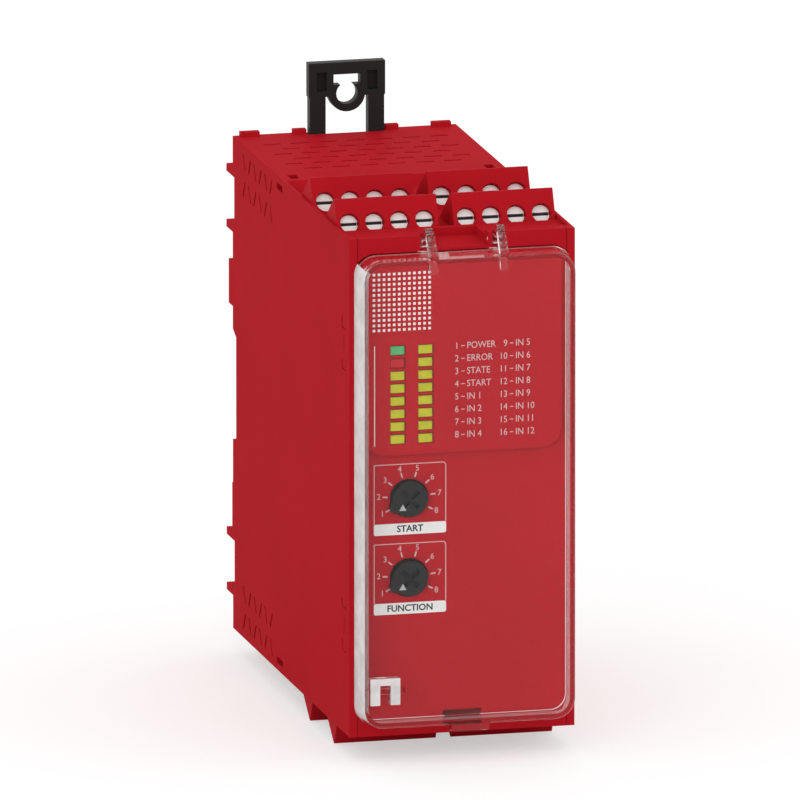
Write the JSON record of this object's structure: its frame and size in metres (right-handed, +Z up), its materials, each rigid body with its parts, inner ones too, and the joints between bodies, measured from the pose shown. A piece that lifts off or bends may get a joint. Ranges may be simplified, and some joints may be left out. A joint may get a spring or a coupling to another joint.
{
  "type": "safety relay",
  "caption": "Rail-mounted safety relay with plug-in screw terminals, indicator columns, two rotary selectors and a hinged clear cover.",
  "frame": {"origin": "middle of the rail seat: on the housing's rear face, at the 35 mm rail's centre line, half way across the width", "axes": "+Z up, +X to the right of someone facing the front, and +Y to the rear, towards the rail; the front panel looks along -Y"},
  "size_m": [0.045, 0.1119, 0.1178],
  "materials": {
    "red_plastic": "fine satin moulded plastic",
    "terminal_red": "fine satin moulded plastic",
    "label": "smooth satin",
    "lens_green": "translucent gloss",
    "lens_red": "translucent gloss",
    "lens_yellow": "translucent gloss",
    "light_source": "clear moulded",
    "black_plastic": "satin",
    "dark_plastic": "satin",
    "clear_plastic": "clear gloss",
    "screw_metal": "nickel plated",
    "cage_metal": "nickel plated",
    "pin_metal": "tin over brass",
    "circuit_board": "solder mask",
    "relay_case": "smooth",
    "core_metal": "laminated",
    "can_metal": "satin"
  },
  "bodies": {
    "module": {"housing": "red_plastic", "front_panel": "red_plastic", "label_plate": "label", "lens_green": "lens_green", "lens_red": "lens_red", "lenses_yellow": "lens_yellow", "light_sources": "light_source", "switch_start": "dark_plastic", "switch_function": "dark_plastic", "pin_header_upper_front_left": "dark_plastic", "pin_header_upper_front_right": "dark_plastic", "pin_header_upper_rear_left": "dark_plastic", "pin_header_upper_rear_right": "dark_plastic", "pin_header_lower_front_left": "dark_plastic", "pin_header_lower_front_right": "dark_plastic", "pin_header_lower_rear_left": "dark_plastic", "pin_header_lower_rear_right": "dark_plastic", "header_pins_upper": "pin_metal", "terminal_board_upper": "circuit_board", "header_pins_lower": "pin_metal", "terminal_board_lower": "circuit_board", "main_board_left": "circuit_board", "main_board_right": "circuit_board", "display_board": "circuit_board", "guided_relay_upper": "relay_case", "guided_relay_lower": "relay_case", "transformer": "core_metal", "capacitors": "can_metal", "processors": "dark_plastic", "board_connectors": "dark_plastic"},
    "cover": {"clear_cover": "clear_plastic"},
    "start_selector": {"selector_start": "black_plastic"},
    "function_selector": {"selector_function": "black_plastic"},
    "rail_clip": {"mounting_clip": "black_plastic"},
    "plug_upper_front_left": {"terminal_block_upper_front_left": "terminal_red", "terminal_screws_upper_front_left": "screw_metal", "clamp_cages_upper_front_left": "cage_metal"},
    "plug_upper_front_right": {"terminal_block_upper_front_right": "terminal_red", "terminal_screws_upper_front_right": "screw_metal", "clamp_cages_upper_front_right": "cage_metal"},
    "plug_upper_rear_left": {"terminal_block_upper_rear_left": "terminal_red", "terminal_screws_upper_rear_left": "screw_metal", "clamp_cages_upper_rear_left": "cage_metal"},
    "plug_upper_rear_right": {"terminal_block_upper_rear_right": "terminal_red", "terminal_screws_upper_rear_right": "screw_metal", "clamp_cages_upper_rear_right": "cage_metal"},
    "plug_lower_front_left": {"terminal_block_lower_front_left": "terminal_red", "terminal_screws_lower_front_left": "screw_metal", "clamp_cages_lower_front_left": "cage_metal"},
    "plug_lower_front_right": {"terminal_block_lower_front_right": "terminal_red", "terminal_screws_lower_front_right": "screw_metal", "clamp_cages_lower_front_right": "cage_metal"},
    "plug_lower_rear_left": {"terminal_block_lower_rear_left": "terminal_red", "terminal_screws_lower_rear_left": "screw_metal", "clamp_cages_lower_rear_left": "cage_metal"},
    "plug_lower_rear_right": {"terminal_block_lower_rear_right": "terminal_red", "terminal_screws_lower_rear_right": "screw_metal", "clamp_cages_lower_rear_right": "cage_metal"}
  },
  "joints": [
    {"name": "cover_hinge", "type": "hinge", "parent": "module", "child": "cover", "pos_m": [0, -0.0947, 0.0508], "axis": [-1, 0, 0], "range_deg": [0, 110]},
    {"name": "start_selector_turn", "type": "hinge", "parent": "module", "child": "start_selector", "pos_m": [-0.0106, -0.096, 0.0002], "axis": [0, 1, 0], "range_deg": [0, 235]},
    {"name": "function_selector_turn", "type": "hinge", "parent": "module", "child": "function_selector", "pos_m": [-0.0106, -0.096, -0.0156], "axis": [0, 1, 0], "range_deg": [0, 235]},
    {"name": "rail_clip_slide", "type": "slide", "parent": "module", "child": "rail_clip", "axis": [0, 0, 1], "range_m": [-0.004, 0]},
    {"name": "plug_upper_front_left_pull", "type": "slide", "parent": "module", "child": "plug_upper_front_left", "axis": [0, 0, 1], "range_m": [0, 0.015]},
    {"name": "plug_upper_front_right_pull", "type": "slide", "parent": "module", "child": "plug_upper_front_right", "axis": [0, 0, 1], "range_m": [0, 0.015]},
    {"name": "plug_upper_rear_left_pull", "type": "slide", "parent": "module", "child": "plug_upper_rear_left", "axis": [0, 0, 1], "range_m": [0, 0.015]},
    {"name": "plug_upper_rear_right_pull", "type": "slide", "parent": "module", "child": "plug_upper_rear_right", "axis": [0, 0, 1], "range_m": [0, 0.015]},
    {"name": "plug_lower_front_left_pull", "type": "slide", "parent": "module", "child": "plug_lower_front_left", "axis": [0, 0, -1], "range_m": [0, 0.015]},
    {"name": "plug_lower_front_right_pull", "type": "slide", "parent": "module", "child": "plug_lower_front_right", "axis": [0, 0, -1], "range_m": [0, 0.015]},
    {"name": "plug_lower_rear_left_pull", "type": "slide", "parent": "module", "child": "plug_lower_rear_left", "axis": [0, 0, -1], "range_m": [0, 0.015]},
    {"name": "plug_lower_rear_right_pull", "type": "slide", "parent": "module", "child": "plug_lower_rear_right", "axis": [0, 0, -1], "range_m": [0, 0.015]}
  ]
}
